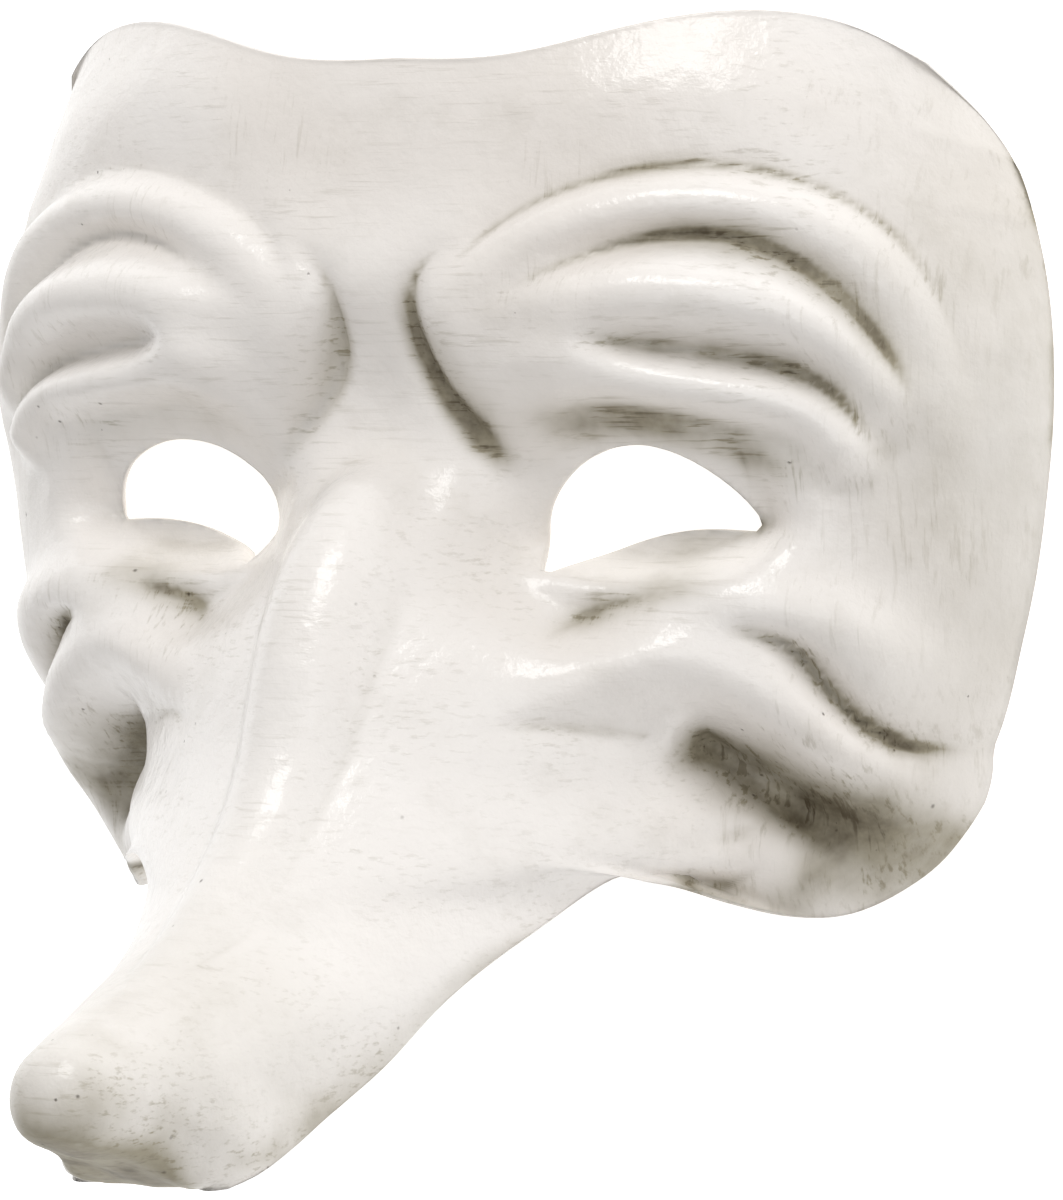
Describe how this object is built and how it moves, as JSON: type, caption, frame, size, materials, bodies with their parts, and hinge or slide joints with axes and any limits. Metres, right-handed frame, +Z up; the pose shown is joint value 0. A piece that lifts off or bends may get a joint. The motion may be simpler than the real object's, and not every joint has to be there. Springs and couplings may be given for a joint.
{
  "type": "venetian mask",
  "caption": "Half mask of varnished papier-mache with a long drooping nose, folded brows and cheeks and half-moon eye holes.",
  "frame": {"origin": "on the surface it lies on, under the middle of the mask's bounding box", "axes": "+Z up, out of the face; +Y from the nose tip towards the forehead; +X across the face"},
  "size_m": [0.1658, 0.1553, 0.1276],
  "materials": {
    "varnished_paper": "gesso white paint with a grey-brown wash in the folds, under a glossy varnish"
  },
  "bodies": {
    "root": {"mask_shell": "varnished_paper"}
  },
  "joints": []
}
